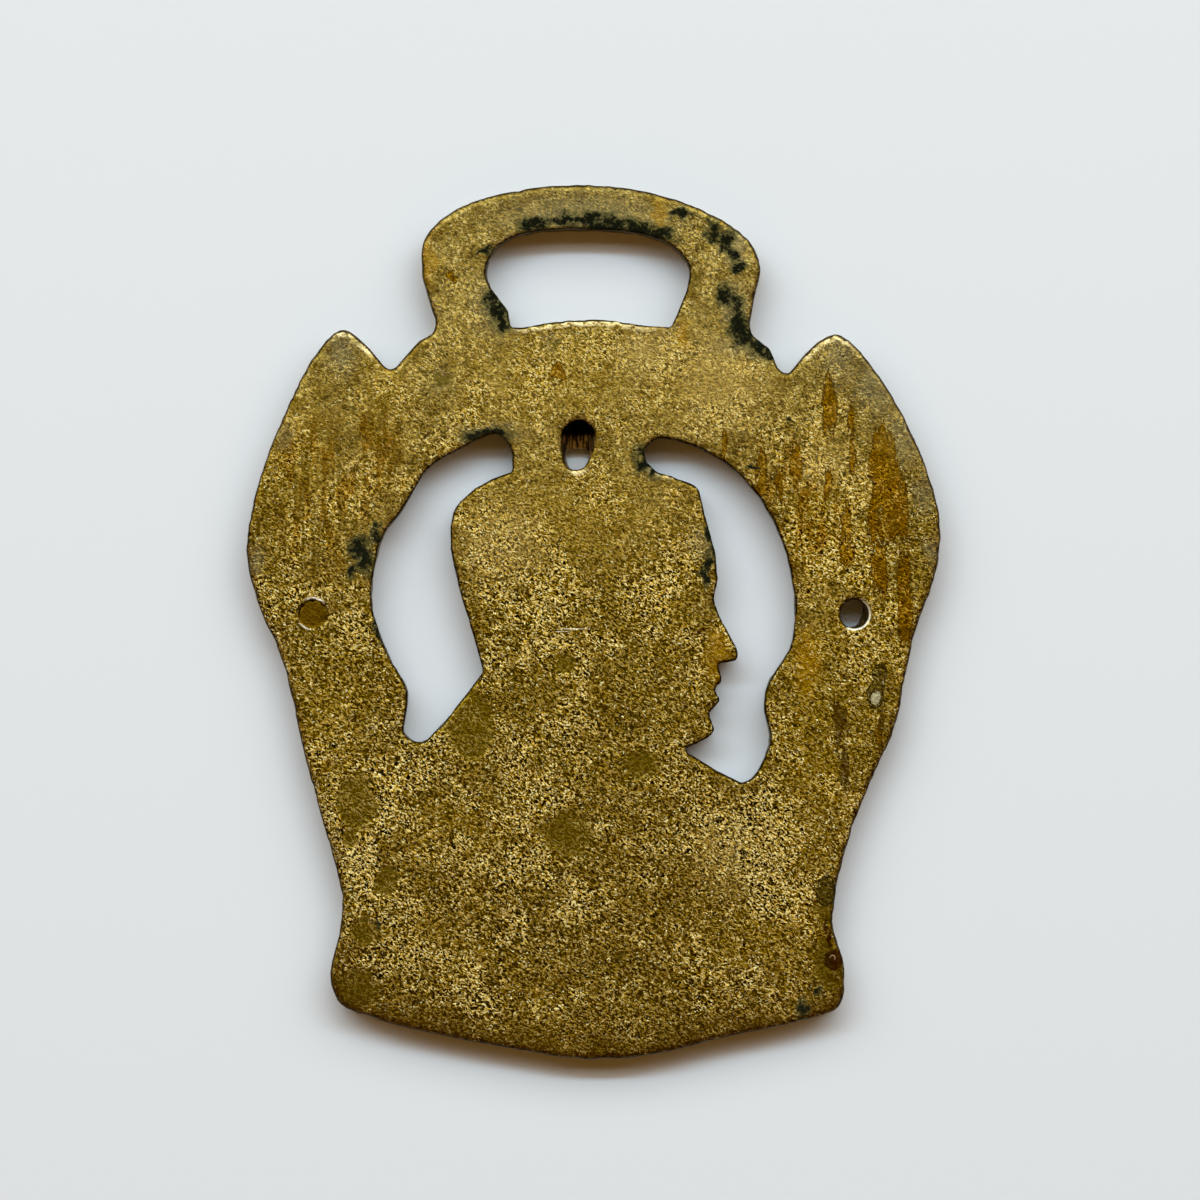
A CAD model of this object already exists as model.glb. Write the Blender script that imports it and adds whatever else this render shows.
import math

import bmesh
import bpy
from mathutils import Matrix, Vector, kdtree, noise


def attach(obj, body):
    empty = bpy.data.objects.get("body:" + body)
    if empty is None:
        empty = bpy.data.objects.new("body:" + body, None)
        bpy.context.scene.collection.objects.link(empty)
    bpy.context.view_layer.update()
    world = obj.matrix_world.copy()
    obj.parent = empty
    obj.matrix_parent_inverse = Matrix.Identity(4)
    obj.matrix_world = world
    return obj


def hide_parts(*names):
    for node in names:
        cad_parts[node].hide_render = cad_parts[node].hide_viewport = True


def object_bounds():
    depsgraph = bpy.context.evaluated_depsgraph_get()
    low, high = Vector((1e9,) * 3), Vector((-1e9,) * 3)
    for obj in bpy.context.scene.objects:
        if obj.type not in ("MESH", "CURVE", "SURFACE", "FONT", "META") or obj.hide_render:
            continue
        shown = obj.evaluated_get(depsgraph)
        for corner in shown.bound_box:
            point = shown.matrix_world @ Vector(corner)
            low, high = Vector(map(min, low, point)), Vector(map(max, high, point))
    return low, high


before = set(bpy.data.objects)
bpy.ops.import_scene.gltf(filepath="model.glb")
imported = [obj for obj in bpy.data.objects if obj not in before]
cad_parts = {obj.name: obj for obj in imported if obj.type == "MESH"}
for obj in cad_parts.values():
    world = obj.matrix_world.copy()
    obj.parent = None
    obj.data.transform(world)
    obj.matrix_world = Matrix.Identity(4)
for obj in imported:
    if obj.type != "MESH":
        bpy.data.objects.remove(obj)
cad_low, cad_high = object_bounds()

# ---- The casting ----
# One piece of brass poured in a sand mould, with a plain back and a modelled front. The solid is
# remeshed to small even faces, its skin is roughened as the sand leaves it, its edges are nicked
# here and there, and the flats are thinned again so that most faces lie where the form turns.
MM = 0.001
weld = 0.0005 * MM  # corners of the solid that lie closer than this are one
voxel = 0.26 * MM
most_triangles = 195000
wall_rise = 0.6  # a corner whose normal rises or falls less than this belongs to a wall
flat_from = 0.8 * MM  # the flats start this far from the nearest wall
nicks_reach = 0.4 * MM  # the nicks end this far from it
back_z = cad_high.z
mark_place = Vector((-28.1, 0.8)) * MM  # the drill mark, filled up almost level with dirt
mark_reach = 1.6 * MM
mark_depth = 1.2 * MM
mark_fill = back_z - 0.07 * MM
hole_place = Vector((26.1, 0.8)) * MM  # the drilled hole, a little narrower at the front
hole_reach = 1.75 * MM
hole_leans_to = math.radians(-25)  # the side whose wall leans in most
hole_lean = Vector((math.cos(hole_leans_to), math.sin(hole_leans_to)))
hole_lean_share = 0.24  # of the depth under the back
unnicked_reach = 2.2 * MM  # no nicks this close to the middle of a drilled place

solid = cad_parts["horse_brass"]
blank_mesh = bpy.data.meshes.new("horse_brass_blank")
bm = bmesh.new()
bm.from_mesh(solid.data)
bmesh.ops.remove_doubles(bm, verts=bm.verts, dist=weld)
bm.to_mesh(blank_mesh)
bm.free()
blank = bpy.data.objects.new("horse_brass_blank", blank_mesh)
bpy.context.collection.objects.link(blank)


# The mesh that an object has once its modifiers are applied; the object is left without them.
def finished_mesh(piece):
    evaluated = piece.evaluated_get(bpy.context.evaluated_depsgraph_get())
    mesh = bpy.data.meshes.new_from_object(evaluated)
    piece.modifiers.clear()
    piece.data = mesh
    return mesh


# Noise of a given grain size, in millimetres, from -1 to 1.
def grain(place, size, seed=0.0):
    return noise.noise(place / (size * MM) + Vector((seed, -seed, seed)))


def distances_from_walls(bm):
    walls = [vert.co for vert in bm.verts if abs(vert.normal.z) < wall_rise]
    tree = kdtree.KDTree(len(walls))
    for index, place in enumerate(walls):
        tree.insert(place, index)
    tree.balance()
    return [tree.find(vert.co)[2] for vert in bm.verts]


def triangle_count(mesh):
    return sum(len(face.vertices) - 2 for face in mesh.polygons)


remesh = blank.modifiers.new("even_faces", "REMESH")
remesh.mode = "VOXEL"
remesh.voxel_size = voxel
wrap = blank.modifiers.new("back_onto_the_solid", "SHRINKWRAP")
wrap.target = solid
wrap.wrap_method = "NEAREST_SURFACEPOINT"
skin_mesh = finished_mesh(blank)
flats = blank.vertex_groups.new(name="flats")

# The grain of the sand, the slow swell of the flats and the nicks are heights in millimetres.
bm = bmesh.new()
bm.from_mesh(skin_mesh)
bm.normal_update()
weights = bm.verts.layers.deform.verify()
shifts = []
for vert, from_wall in zip(bm.verts, distances_from_walls(bm)):
    vert[weights][flats.index] = 1.0 if from_wall > flat_from else 0.0
    from_drill = min((vert.co.xy - mark_place).length, (vert.co.xy - hole_place).length)
    edge = max(0.0, 1 - from_wall / nicks_reach) if from_drill >= unnicked_reach else 0.0
    sand = 0.012 * grain(vert.co, 0.8) + 0.02 * grain(vert.co, 2.1, 5) - 0.02
    swell = 0.03 * grain(vert.co, 9, 11) - 0.02
    nick = min(0.0, 0.12 * grain(vert.co, 1.9, 17) + 0.1 * grain(vert.co, 0.8, 23) - 0.02)
    shifts.append(vert.normal * ((sand + swell * abs(vert.normal.z) + nick * edge) * MM))
for vert, shift in zip(bm.verts, shifts):
    vert.co += shift
    in_mark = (vert.co.xy - mark_place).length < mark_reach
    if in_mark and vert.co.z > back_z - mark_depth:
        vert.co.z = max(vert.co.z, mark_fill + 0.02 * MM * grain(vert.co, 0.5, 31))
    outward = vert.co.xy - hole_place
    if outward.length < hole_reach:
        leaning = max(0.0, outward.normalized().dot(hole_lean)) * hole_lean_share
        vert.co.xy -= outward.normalized() * (leaning * (back_z - vert.co.z))
    vert.co.z = min(max(vert.co.z, 0.0), back_z)
bm.to_mesh(skin_mesh)
bm.free()

thin = blank.modifiers.new("thinned_flats", "DECIMATE")
thin.vertex_group = flats.name
thin.ratio = most_triangles / triangle_count(skin_mesh)
casting_mesh = finished_mesh(blank)
casting_mesh.name = "horse_brass_casting"
bpy.data.objects.remove(blank)

# The finish needs to know how far each place is from the nearest wall.
bm = bmesh.new()
bm.from_mesh(casting_mesh)
bm.normal_update()
from_wall_layer = bm.verts.layers.float.new("from_wall")
for vert, from_wall in zip(bm.verts, distances_from_walls(bm)):
    vert[from_wall_layer] = from_wall / MM
    vert.co.z = min(max(vert.co.z, 0.0), back_z)
for face in bm.faces:
    face.smooth = True
bm.to_mesh(casting_mesh)
bm.free()

casting = bpy.data.objects.new("horse_brass_casting", casting_mesh)
bpy.context.collection.objects.link(casting)
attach(casting, "root")
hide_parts("horse_brass")


# Its finish is old brass that was never polished behind: a brown-gold skin full of bright grains,
# greyer under a smooth film towards the hanger, with black-green crusts, amber lacquer and dark rims.

# A shader value: one output socket, with the arithmetic that masks and blends need.
class Wire:
    tree = None

    def __init__(self, socket):
        self.socket = socket

    @classmethod
    def node(cls, kind, settings=None, inputs=None, output=0):
        made = cls.tree.nodes.new("ShaderNode" + kind)
        for name, setting in (settings or {}).items():
            setattr(made, name, setting)
        for name, given in (inputs or {}).items():
            if isinstance(given, Wire):
                cls.tree.links.new(given.socket, made.inputs[name])
            else:
                made.inputs[name].default_value = given
        return cls(made.outputs[output]) if made.outputs else None

    @classmethod
    def maths(cls, operation, *values):
        return cls.node("Math", {"operation": operation}, dict(enumerate(values)))

    def __add__(self, other):
        return self.maths("ADD", self, other)

    def __mul__(self, other):
        return self.maths("MULTIPLY", self, other)

    def __sub__(self, other):
        return self.maths("SUBTRACT", self, other)

    def __rsub__(self, other):
        return self.maths("SUBTRACT", other, self)

    __radd__ = __add__
    __rmul__ = __mul__

    def over(self, other):
        return self.maths("MAXIMUM", self, other)

    # 0 below low, 1 above high, smooth between; with low above high it falls instead.
    def rise(self, low, high):
        settings = {"interpolation_type": "SMOOTHSTEP"}
        return self.node("MapRange", settings, {"Value": self, "From Min": low, "From Max": high})


brass = bpy.data.materials.new("aged_brass")
brass.use_nodes = True
brass.node_tree.nodes.clear()
Wire.tree = brass.node_tree


# A colour as seen on screen, 0 to 255, made linear for the shader.
def colour(*on_screen):
    shares = [value / 255 for value in on_screen]
    linear = [((c + 0.055) / 1.055) ** 2.4 if c > 0.04045 else c / 12.92 for c in shares]
    return (*linear, 1)


def blend(mask, first, second, mode="MIX"):
    settings = {"data_type": "RGBA", "blend_type": mode}
    return Wire.node("Mix", settings, {0: mask, 6: first, 7: second}, output=2)


def vectors(operation, first, second, output=0):
    return Wire.node("VectorMath", {"operation": operation}, {0: first, 1: second}, output)


place = Wire.node("TexCoord", output=3)
millimetres = vectors("MULTIPLY", place, (1 / MM, 1 / MM, 1 / MM))


# Soft noise from 0 to 1 with grains of a given size in millimetres; output 1 is its colour.
def cloud(size, detail=2.0, roughness=0.5, where=millimetres, output=0):
    inputs = {"Vector": where, "Scale": 1 / size, "Detail": detail, "Roughness": roughness}
    return Wire.node("TexNoise", None, inputs, output)


axis = {name: Wire.node("SeparateXYZ", None, {0: millimetres}, output=i) for i, name in enumerate("xyz")}
footwards = axis["y"] * -1
object_normal = Wire.node("TexCoord", output=1)
faces_up = Wire.node("SeparateXYZ", None, {0: object_normal}, output=2)
from_wall = Wire.node("Attribute", {"attribute_name": "from_wall"}, output=2)
back = faces_up.rise(0.0, 0.5)
front = faces_up.rise(-0.1, -0.6)
wall = (1 - back) * (1 - front)


# Places pushed about by noise: marks drawn on them get ragged edges.
def pushed_places(noise_places, reach):
    push = vectors("SUBTRACT", cloud(1, 3, 0.7, noise_places, output=1), (0.5, 0.5, 0.5))
    return vectors("ADD", millimetres, vectors("MULTIPLY", push, reach))


# The places in units of a given width and height, for noise that is drawn out in one direction.
def drawn_out(width, height):
    return vectors("MULTIPLY", millimetres, (1 / width, 1 / height, 0.5))


ragged = pushed_places(drawn_out(1.4, 1.4), (2.6, 2.6, 0))
wavy = pushed_places(drawn_out(0.9, 0.9), (1.0, 1.0, 0))
dripping = pushed_places(drawn_out(0.6, 4.5), (1.3, 6.5, 0))

# The grains of the skin are short strokes that lie down to the right more often than not.
lie = {"Vector": wavy, "Rotation": (0, 0, math.radians(-35)), "Scale": (1.7, 0.85, 1)}
strokes = Wire.node("Mapping", {"vector_type": "TEXTURE"}, lie)


# The union of ovals, each given as centre x and y and half width, and stretch times as high as wide.
# Its edge is soft over a share of the half width, or over a fixed number of millimetres.
def ovals(stretch, *shapes, softness=0.35, soft=None, where=ragged):
    drawn = vectors("MULTIPLY", where, (1, 1 / stretch, 0))
    mask = None
    for x, y, half_width in shapes:
        fade = half_width * softness if soft is None else soft
        reach = vectors("DISTANCE", drawn, (x, y / stretch, 0), output=1)
        one = reach.rise(half_width + fade, half_width - fade)
        mask = one if mask is None else mask.over(one)
    return mask


# The noises of the skin, from the broadest to the finest.
broad = cloud(13, detail=3)
patches = cloud(5, detail=4, roughness=0.62)
mottle = cloud(1.9, detail=3, roughness=0.65)
fine_mottle = cloud(0.7, detail=2, roughness=0.65)
threads = Wire.maths("ABSOLUTE", cloud(0.55, detail=1.5, roughness=0.6) - 0.5)
grains = cloud(0.2, detail=2, roughness=0.6, where=strokes)
flecks = cloud(0.17, detail=1)

# The skin runs from tan under the smooth film at the hanger to a deep golden brown at the foot.
light_gold, dark_gold, tan = colour(150, 113, 0), colour(118, 90, 0), colour(164, 140, 70)
golden_brown, brown, dark_brown = colour(98, 60, 0), colour(90, 66, 0), colour(62, 40, 0)
film = (axis["y"] * 0.018 + broad * 0.8 + patches * 0.5 + mottle * 0.3).rise(0.75, 1.4)
tone = blend(patches.rise(0.38, 0.62), light_gold, dark_gold)
tone = blend(film * 0.9, tone, tan)
tone = blend(footwards.rise(-4, 44) * 0.4, tone, golden_brown)
tone = blend(mottle.rise(0.44, 0.62) * 0.6, tone, brown)
tone = blend(fine_mottle.rise(0.5, 0.66) * 0.5, tone, dark_brown)

# Some parts are more golden than the rest, some darker, and some pale.
golden = ovals(
    0.5, (-4, 24.5, 8), (10, 23.5, 6), (-3, 10, 9), (14.5, -23, 6), (-13, -21, 5.5), (-14, -33, 5),
    (14, -32, 6.5), softness=0.9,
).over(ovals(
    2, (22.8, 15.8, 1.6), (22.5, 10, 3), (-29, 17, 3.2), (8, 1, 1.8), (-26.5, -10, 2.8),
    (-23.6, -24.5, 1.8), (22, -13, 2.4), (-21, 23, 2.6), (-5, -43, 3), softness=0.9,
))
dim = ovals(
    0.35, (0, 42.3, 9), (-8, -8, 4.5), (2.5, -9, 4.5), (2, 0.5, 4), (0, -35, 7), (-22.5, -38, 4.5),
    (0, -43, 16), softness=0.9,
).over(ovals(
    3, (32.6, 12, 2.2), (32.4, 4, 1.6), (-33.4, 9, 1.9), (28.6, -8, 2), (24, -33, 2), (20, 0.5, 1.6),
    (27, 24.5, 2), (-21.9, 0, 1.0), (22.5, -7, 2.6), (-25.5, 26.3, 2.2), (25.2, 26.3, 1.8), softness=0.9,
))
pale_places = ovals(
    1, (12.5, 24, 4.2), (22.8, 15.8, 2.1), (14, -23, 3.4), (-23.6, -23.5, 1.4), (6, 27, 3),
    (-9, 8, 3.5), softness=0.8,
)
tone = blend(golden * 0.3, tone, colour(164, 126, 0))
tone = blend(dim * 0.3, tone, colour(76, 60, 0))
tone = blend(pale_places * 0.42, tone, colour(210, 178, 100))

# A grey-green smoke lies along the outer edges of the wings and on the hanger.
smoke = ovals(
    1.5, (28.2, 23.8, 1.9), (31.0, 18.8, 1.7), (33.2, 13, 1.1), (34, 7, 0.9), (-30.9, 18.4, 0.8),
    (-34, 6, 1.0), (24.6, 27, 1.8), (-25, 27.4, 1.5), (14.2, 37.4, 1.2), (14.2, 31.6, 1.3),
    (-9.8, 31.8, 1.8), (10.6, 8, 0.9), (-15.3, 24.2, 0.7), (-4.2, 27.8, 0.6), softness=0.8,
).over(ovals(0.3, (-1, 40.4, 7.5), (16.4, 27.6, 3.4), (-10.6, 18.8, 3.0), softness=0.8))
tone = blend(smoke * 0.55, tone, colour(134, 126, 92))

# Smooth olive places, where the skin has no grain, and a smooth dark rim round the foot.
smooth_places = ovals(
    1.4, (-23.7, -17.9, 2.05), (-24.4, -21.4, 0.7), (-20.8, -26.1, 1.2), (-12.4, -10.3, 2.5),
    (23.8, -34, 1.8), (23.6, -28, 1.6), softness=0.12,
).over(ovals(
    0.9, (-2.4, -21.1, 2.6), (-4.0, 27.7, 0.55), (-15.3, 24.2, 0.7), (-23.6, -36.6, 2.2),
    (-22.8, -31, 1.5), (-2.7, -4.2, 1.1), (4.9, -14.4, 1.6), softness=0.3,
))
foot_rim = footwards.rise(30, 38) * from_wall.rise(3.6, 0.4)
tone = blend(smooth_places * 0.75, tone, colour(104, 86, 0))
tone = blend(foot_rim * 0.45, tone, colour(72, 50, 0))

# Bare metal has the most grain. Its bright grains and short bright threads lie close together in
# drifts, with dark pits between them, and the pits are deepest in the lower half of the brass.
bare = (1 - film * 0.5) * (1 - smooth_places * 0.9) * (1 - foot_rim * 0.7) * (1 - smoke * 0.5)
coarse = ovals(
    2.2, (-23.6, -24.8, 1.7), (-26.2, -19, 0.9), (-20.9, -18.5, 1.2), (17.5, -22, 2.6), softness=0.5,
) * (1 - smooth_places)
drifts = patches * 0.9 + mottle * 0.7 + fine_mottle * 0.5 + broad * 0.2 + dim * 0.1 - coarse * 0.3
drifts = drifts.rise(1.23, 1.03)
worms = threads.rise(0.05, 0.02) * grains.rise(0.45, 0.53)
gleam = grains.rise(0.5, 0.56).over(worms) * (0.35 + bare * 0.65) * (0.55 + drifts * 0.45)
glint = grains.rise(0.56, 0.605).over(worms * flecks.rise(0.4, 0.5))
glint = glint * (0.2 + bare * 0.8) * (0.22 + drifts * 0.78)
flakes = cloud(0.34, detail=1).rise(0.66, 0.72) * (0.2 + mottle) * bare
grit = footwards.rise(-14, 0) * axis["x"].rise(21, 15) * 0.035
pit = (grains - grit).rise(0.46, 0.41).over((flecks - grit).rise(0.4, 0.32) * 0.85)
pit = pit * (0.25 + bare * 0.75) * (0.65 + drifts * 0.35)
specks = cloud(0.85, detail=1).rise(0.71, 0.77)
cream = blend(flecks.rise(0.4, 0.62), colour(240, 194, 66), colour(255, 246, 186))
skin = blend((1 - drifts) * bare * 0.15, tone, colour(84, 62, 0))
skin = blend(pit.over(specks * 0.8), skin, colour(20, 10, 0))
skin = blend(gleam * 0.55, skin, colour(206, 158, 6))
skin = blend(glint.over(flakes), skin, cream)

# Lacquer has run down the wings and dried amber, darkest along the edges of each run.
amber_runs = ovals(
    4, (23.6, 21.6, 0.7), (25.8, 20.2, 0.35), (25.8, 16.4, 0.45), (20.3, 15.4, 0.55), (16.8, 15.4, 0.5),
    (31.2, 0.8, 0.75), (25.3, 9.6, 0.4), (23.5, 13.6, 0.35), (28.6, -11.2, 0.4), (13.1, 17.3, 0.3),
    (31.0, 4.4, 0.6), (28.6, 5.4, 0.7), (18.6, 14.2, 0.35), (28.2, 16, 0.6), (30.8, 11, 0.8),
    (27.9, 10.4, 0.5), soft=0.1, where=dripping,
).over(ovals(
    1.2, (29.1, 19.2, 0.6), (29.1, 17.6, 1.3), (29.2, 15.2, 1.6), (29.4, 12.6, 1.5), (29.6, 9.6, 1.2),
    (16.6, 12.9, 0.9), (25.3, 7.0, 0.8), soft=0.1, where=dripping,
)).over(ovals(1.5, (-3.6, 25.1, 0.6), (-14.1, 34.6, 0.35), soft=0.1))
wing_streaks = cloud(1, 2, 0.5, drawn_out(0.75, 5)).rise(0.48, 0.56)
wing_streaks = wing_streaks * ovals(1.7, (-27, 12.5, 4.6), (20.5, 11, 4), (-22, 17, 2.6), softness=0.4)
wing_streaks = wing_streaks * (0.8 - pale_places * 0.8)
amber = amber_runs.over(wing_streaks) * back
amber_edge = amber_runs * (1 - amber_runs) * 4 * back
skin = blend(amber * (0.3 + mottle * 1.2), skin, colour(208, 178, 26), mode="MULTIPLY")
skin = blend(amber_runs * back * fine_mottle.rise(0.35, 0.65) * 0.35, skin, colour(140, 98, 0))
skin = blend(amber_edge * 0.8, skin, colour(64, 38, 0))

# Older runs are brown: fine streaks on the left wing and a few broad drips low on the right one.
old_streaks = cloud(1, 2, 0.5, drawn_out(0.6, 6)).rise(0.5, 0.57)
old_streaks = old_streaks * ovals(2, (-27.5, 12.5, 4.2), (-21.5, 17.5, 2.4), softness=0.4)
old_runs = ovals(4, (24.6, -10.0, 0.6), (25.1, -14.4, 0.5), (28.9, -9.6, 0.3), soft=0.12, where=dripping)
skin = blend(old_streaks * back * 0.5, skin, colour(92, 68, 0))
skin = blend(old_runs * back * 0.8, skin, colour(66, 44, 0))
ochre_edges = ovals(
    2.5, (-16.8, 36.0, 0.9), (6.6, 40.7, 0.7), (9.1, 28.7, 0.6), (-8.4, 16.4, 0.4), (12.4, -3.4, 1.1),
    (21.3, -4.2, 1.3), softness=0.5,
)
skin = blend(ochre_edges * back * 0.45, skin, colour(176, 128, 0))

# Near every edge the skin is darker, and the walls are brown with old dirt.
margin = from_wall.rise(1.8, 0.2) * (mottle.rise(0.4, 0.7) * 0.6 + 0.1) * back
rim = from_wall.rise(0.34, 0.1) * back
skin = blend(margin * 0.6, skin, colour(94, 66, 0))
skin = blend((rim * 0.9).over(wall * 0.75), skin, colour(28, 17, 0))

# The tops of the wings and the lips of the openings are worn bright.
worn_lips = ovals(
    0.3, (-25.2, 28.9, 2.6), (24.2, 28.5, 2.8), (-1.5, 29.9, 6.4), (-1.2, 14.9, 1.2), (7.5, 15.2, 2.4),
    (-22.6, 27.2, 2.0), (21.8, 26.8, 2.0), softness=0.6, where=millimetres,
)
just_inside = from_wall.rise(0.75, 0.5) * from_wall.rise(0.15, 0.3)
worn = worn_lips * just_inside * fine_mottle.rise(0.4, 0.55) * back
skin = blend(worn * 0.8, skin, colour(246, 220, 156))

# Black-green crusts, thick in the middle and broken at their edges, each in a grey-green halo.
crusts = ovals(
    0.4, (-6.1, 39.7, 1.5), (-3.2, 40.2, 1.4), (-0.6, 40.4, 1.6), (2.2, 39.9, 1.8), (4.6, 39.3, 1.8),
    (6.9, 38.8, 1.4), (8.6, 40.9, 1.1), (-10.9, 37.2, 0.8), (-11.6, 18.6, 1.3), (-9.6, 18.9, 1.3),
    (17.9, 27.1, 1.4), (16.3, 28.0, 1.4), (0.6, 39.0, 2.8), (5.6, 38.5, 2.1), (-20.2, 2.8, 0.8),
    (16.1, 15.6, 0.6), softness=0.8,
).over(ovals(
    1.3, (12.0, 39.0, 0.75), (13.2, 38.2, 0.75), (14.0, 36.9, 0.5), (14.4, 35.5, 0.5), (13.2, 32.6, 0.8),
    (14.2, 31.9, 0.8), (14.3, 30.4, 0.7), (14.6, 29.3, 0.9), (-10.2, 32.4, 0.7), (-9.6, 31.1, 0.9),
    (-9.0, 29.9, 0.7), (5.0, 16.6, 0.7), (4.8, 15.6, 0.7), (6.0, 15.0, 0.5), (-23.4, 7.4, 0.9),
    (-23.0, 6.2, 0.9), (-24.1, 5.1, 0.5), (20.8, -38.7, 0.6), (22.7, -36.8, 0.4), (-21.5, -30.2, 0.28),
    (19.5, 20.3, 0.25), (15.2, 28.5, 0.9), (16.5, 27.6, 0.9), (17.7, 26.8, 0.7), (-22.0, 8.6, 0.5),
    (-21.6, 9.6, 0.4), softness=0.8,
)).over(ovals(4, (11.9, 8.6, 0.45), (11.4, 5.4, 0.45), (-21.6, -1.2, 0.3), softness=0.6))
halo = crusts.rise(0.0, 0.45) * back * (0.25 + mottle * 0.8)
crust = crusts + fine_mottle * 1.2 + mottle * 0.4 + grains * 1.9
crust = crust.rise(2.15, 2.65) * crusts.rise(0.02, 0.15) * back
skin = blend(halo, skin, colour(88, 84, 46))
skin = blend(crust * (1 - glint * 0.3), skin, colour(28, 30, 18))

# The walls of the crown hole are black with dirt, and brown and scored where they run out below.
hole_wall = ovals(1.25, (-1.6, 18.2, 2.5), softness=0.1, where=millimetres) * axis["z"].rise(3.56, 3.4)
scores = cloud(1, 2, 0.6, drawn_out(0.22, 2)).rise(0.45, 0.62)
scored = blend(scores, colour(58, 40, 8), colour(196, 158, 90))
black_above = (axis["y"] + mottle * 0.8).rise(18.7, 19.3)
skin = blend(hole_wall, skin, blend(black_above, scored, colour(7, 7, 4)))

flat = vectors("MULTIPLY", millimetres, (1, 1, 0))


# A band round a drilled place, from one radius to another, thickest in one direction in degrees
# and gone at a given spread from it.
def burr(x, y, inner, outer, towards, spread):
    from_middle = vectors("SUBTRACT", flat, (x, y, 0))
    reach = vectors("LENGTH", from_middle, (0, 0, 0), output=1)
    direction = (math.cos(math.radians(towards)), math.sin(math.radians(towards)), 0)
    along = vectors("DOT_PRODUCT", from_middle, direction, output=1)
    band = reach.rise(inner - 0.05, inner + 0.05) * reach.rise(outer + 0.05, outer - 0.05)
    low = inner * math.cos(math.radians(spread))
    return band * along.rise(low, low + 0.3)


# The drill left bright burrs, and the mark it only started has filled up flat and brown.
mark = tuple(mark_place / MM)
hole = tuple(hole_place / MM)
filling = ovals(1, (*mark, 1.46), soft=0.05, where=millimetres) * axis["z"].rise(3.0, 3.1)
shadow = burr(*mark, 1.27, 1.42, towards=135, spread=60)
burrs = burr(*mark, 1.5, 1.72, towards=82, spread=34)
burrs = burrs.over(burr(*mark, 1.42, 1.62, towards=238, spread=16))
burrs = burrs.over(burr(*hole, 1.44, 1.64, towards=-30, spread=95))
skin = blend(filling, skin, blend(fine_mottle, colour(112, 82, 8), colour(84, 58, 2)))
skin = blend(shadow * 0.9, skin, colour(14, 9, 2))
skin = blend(burrs * back, skin, colour(255, 246, 220))

# A drop of dark red-brown lacquer on the foot, with its stems and the light that it catches.
drop = ovals(1.2, (24.0, -33.8, 0.9), softness=0.12, where=wavy)
stems = ovals(5, (23.6, -31.6, 0.2), (24.3, -31.4, 0.18), (23.2, -30.4, 0.16), softness=0.3, where=wavy)
drop_light = burr(23.9, -33.6, 0.22, 0.3, towards=60, spread=150)
skin = blend(drop.over(stems) * back * 0.85, skin, colour(52, 18, 0))
skin = blend(drop_light * 0.8, skin, colour(240, 200, 150))

# Olive blots with dark outlines, one with a pale heart, and a fine bright scratch on the head.
blots = ovals(1.7, (28.6, -5.3, 0.62), (28.2, -7.3, 0.8), (23.2, -26.9, 0.9), soft=0.12, where=wavy)
blot_outlines = blots * (1 - blots) * 4
pale_heart = ovals(1.5, (28.2, -7.6, 0.42), soft=0.1, where=wavy)
scratch = ovals(0.04, (-2.0, -0.68, 1.3), (-3.1, -0.95, 0.7), softness=0.4, where=millimetres)
skin = blend(blot_outlines.over(blots * (0.2 + fine_mottle * 0.7)) * back, skin, colour(44, 36, 8))
skin = blend(pale_heart * back * 0.8, skin, colour(206, 196, 150))
skin = blend(scratch * back * 0.8, skin, colour(255, 246, 214))

# The modelled front was scoured clean by hand: its high parts are smooth and bright, its ground dark.
polished = front * axis["z"].rise(1.0, 0.3)
grimy = front * axis["z"].rise(0.5, 1.1) * (from_wall.rise(1.4, 0.2) * 0.7 + 0.3)
skin = blend(polished * (0.5 + patches * 0.4), skin, colour(214, 170, 62))
skin = blend(grimy * 0.8, skin, colour(52, 36, 8))

relief = (grains * 0.8 + fine_mottle * 0.8 + worms * 0.15) * (0.4 + bare * 0.6) * (1 - polished * 0.7)
bump = Wire.node("Bump", None, {"Strength": 1.0, "Distance": 0.075 * MM, "Height": relief})
dull = 0.41 + crust * 0.3 + film * 0.06 + glint.over(burrs) * 0.19 - polished * 0.1
surface = {"Base Color": skin, "Metallic": 1.0, "Roughness": dull, "Normal": bump}
shader = Wire.node("BsdfPrincipled", None, surface)
Wire.node("OutputMaterial", None, {"Surface": shader})
casting_mesh.materials.clear()
casting_mesh.materials.append(brass)

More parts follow.
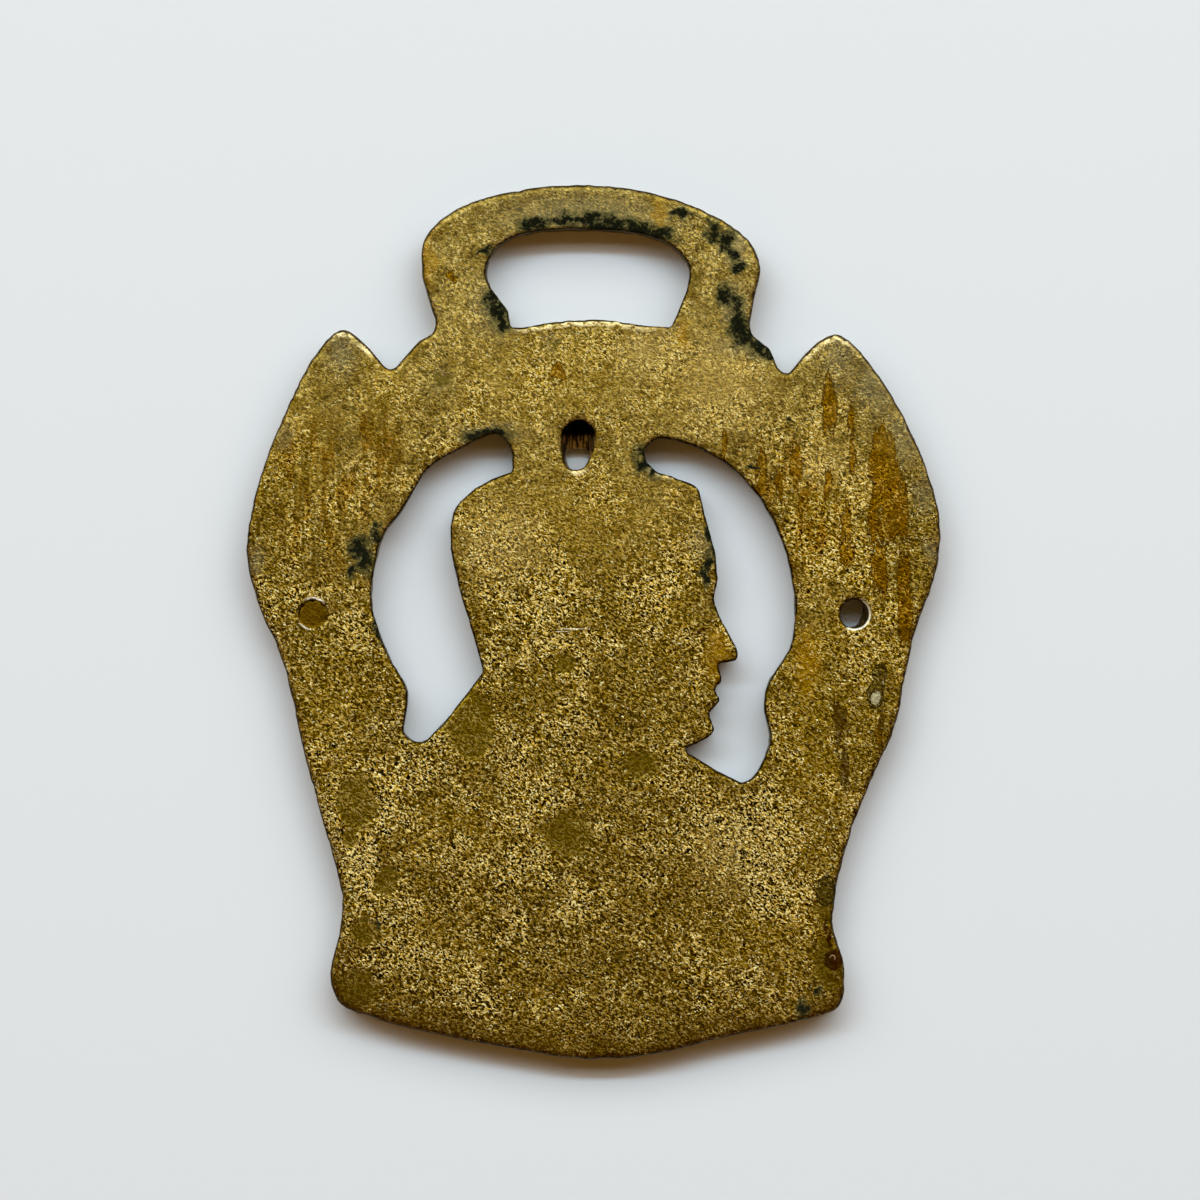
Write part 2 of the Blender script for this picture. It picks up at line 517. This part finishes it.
# ---- The floor, the lamps and the camera ----
# A plain pale table top. A wide soft lamp and a narrow cool one stand beyond the hanger, the room
# gives a weak warm light from all round, and the camera looks straight down on the brass.
floor_reach = 2.0
bm = bmesh.new()
bmesh.ops.create_grid(bm, x_segments=1, y_segments=1, size=floor_reach)
floor_mesh = bpy.data.meshes.new("floor")
bm.to_mesh(floor_mesh)
bm.free()
floor = bpy.data.objects.new("floor", floor_mesh)
bpy.context.collection.objects.link(floor)

pale = bpy.data.materials.new("pale_floor")
pale.use_nodes = True
pale.node_tree.nodes.clear()
Wire.tree = pale.node_tree
shader = Wire.node("BsdfPrincipled", None, {"Base Color": (0.8, 0.8, 0.8, 1), "Roughness": 0.9})
Wire.node("OutputMaterial", None, {"Surface": shader})
floor_mesh.materials.append(pale)

lamp_distance = 1.5


def soft_lamp(name, elevation, width, height, power, tint):
    data = bpy.data.lights.new(name, "AREA")
    data.shape = "RECTANGLE"
    data.size = width
    data.size_y = height
    data.energy = power
    data.color = tint
    lamp = bpy.data.objects.new(name, data)
    angle = math.radians(elevation)
    lamp.location = (0, lamp_distance * math.cos(angle), lamp_distance * math.sin(angle))
    lamp.rotation_euler = (angle - math.pi / 2, 0, 0)
    bpy.context.collection.objects.link(lamp)


soft_lamp("wide_lamp", elevation=50, width=5.0, height=1.2, power=39.8, tint=(0.955, 1.0, 1.0))
soft_lamp("narrow_lamp", elevation=56, width=2.4, height=0.13, power=14.7, tint=(0.54, 0.79, 1.0))

room_light = (0.19, 0.10, 0.025, 1)
world = bpy.data.worlds.new("room")
world.use_nodes = True
world.node_tree.nodes["Background"].inputs["Color"].default_value = room_light
bpy.context.scene.world = world

eye_x, eye_y = 0.65 * MM, 2.2 * MM
eye_height = 600 * MM
frame_width = 120 * MM
camera_data = bpy.data.cameras.new("overhead")
camera_data.sensor_width = 36
camera_data.lens = camera_data.sensor_width * eye_height / frame_width
camera = bpy.data.objects.new("overhead", camera_data)
camera.location = (eye_x, eye_y, back_z + eye_height)
bpy.context.collection.objects.link(camera)
bpy.context.scene.camera = camera
bpy.context.scene.view_settings.view_transform = "Standard"
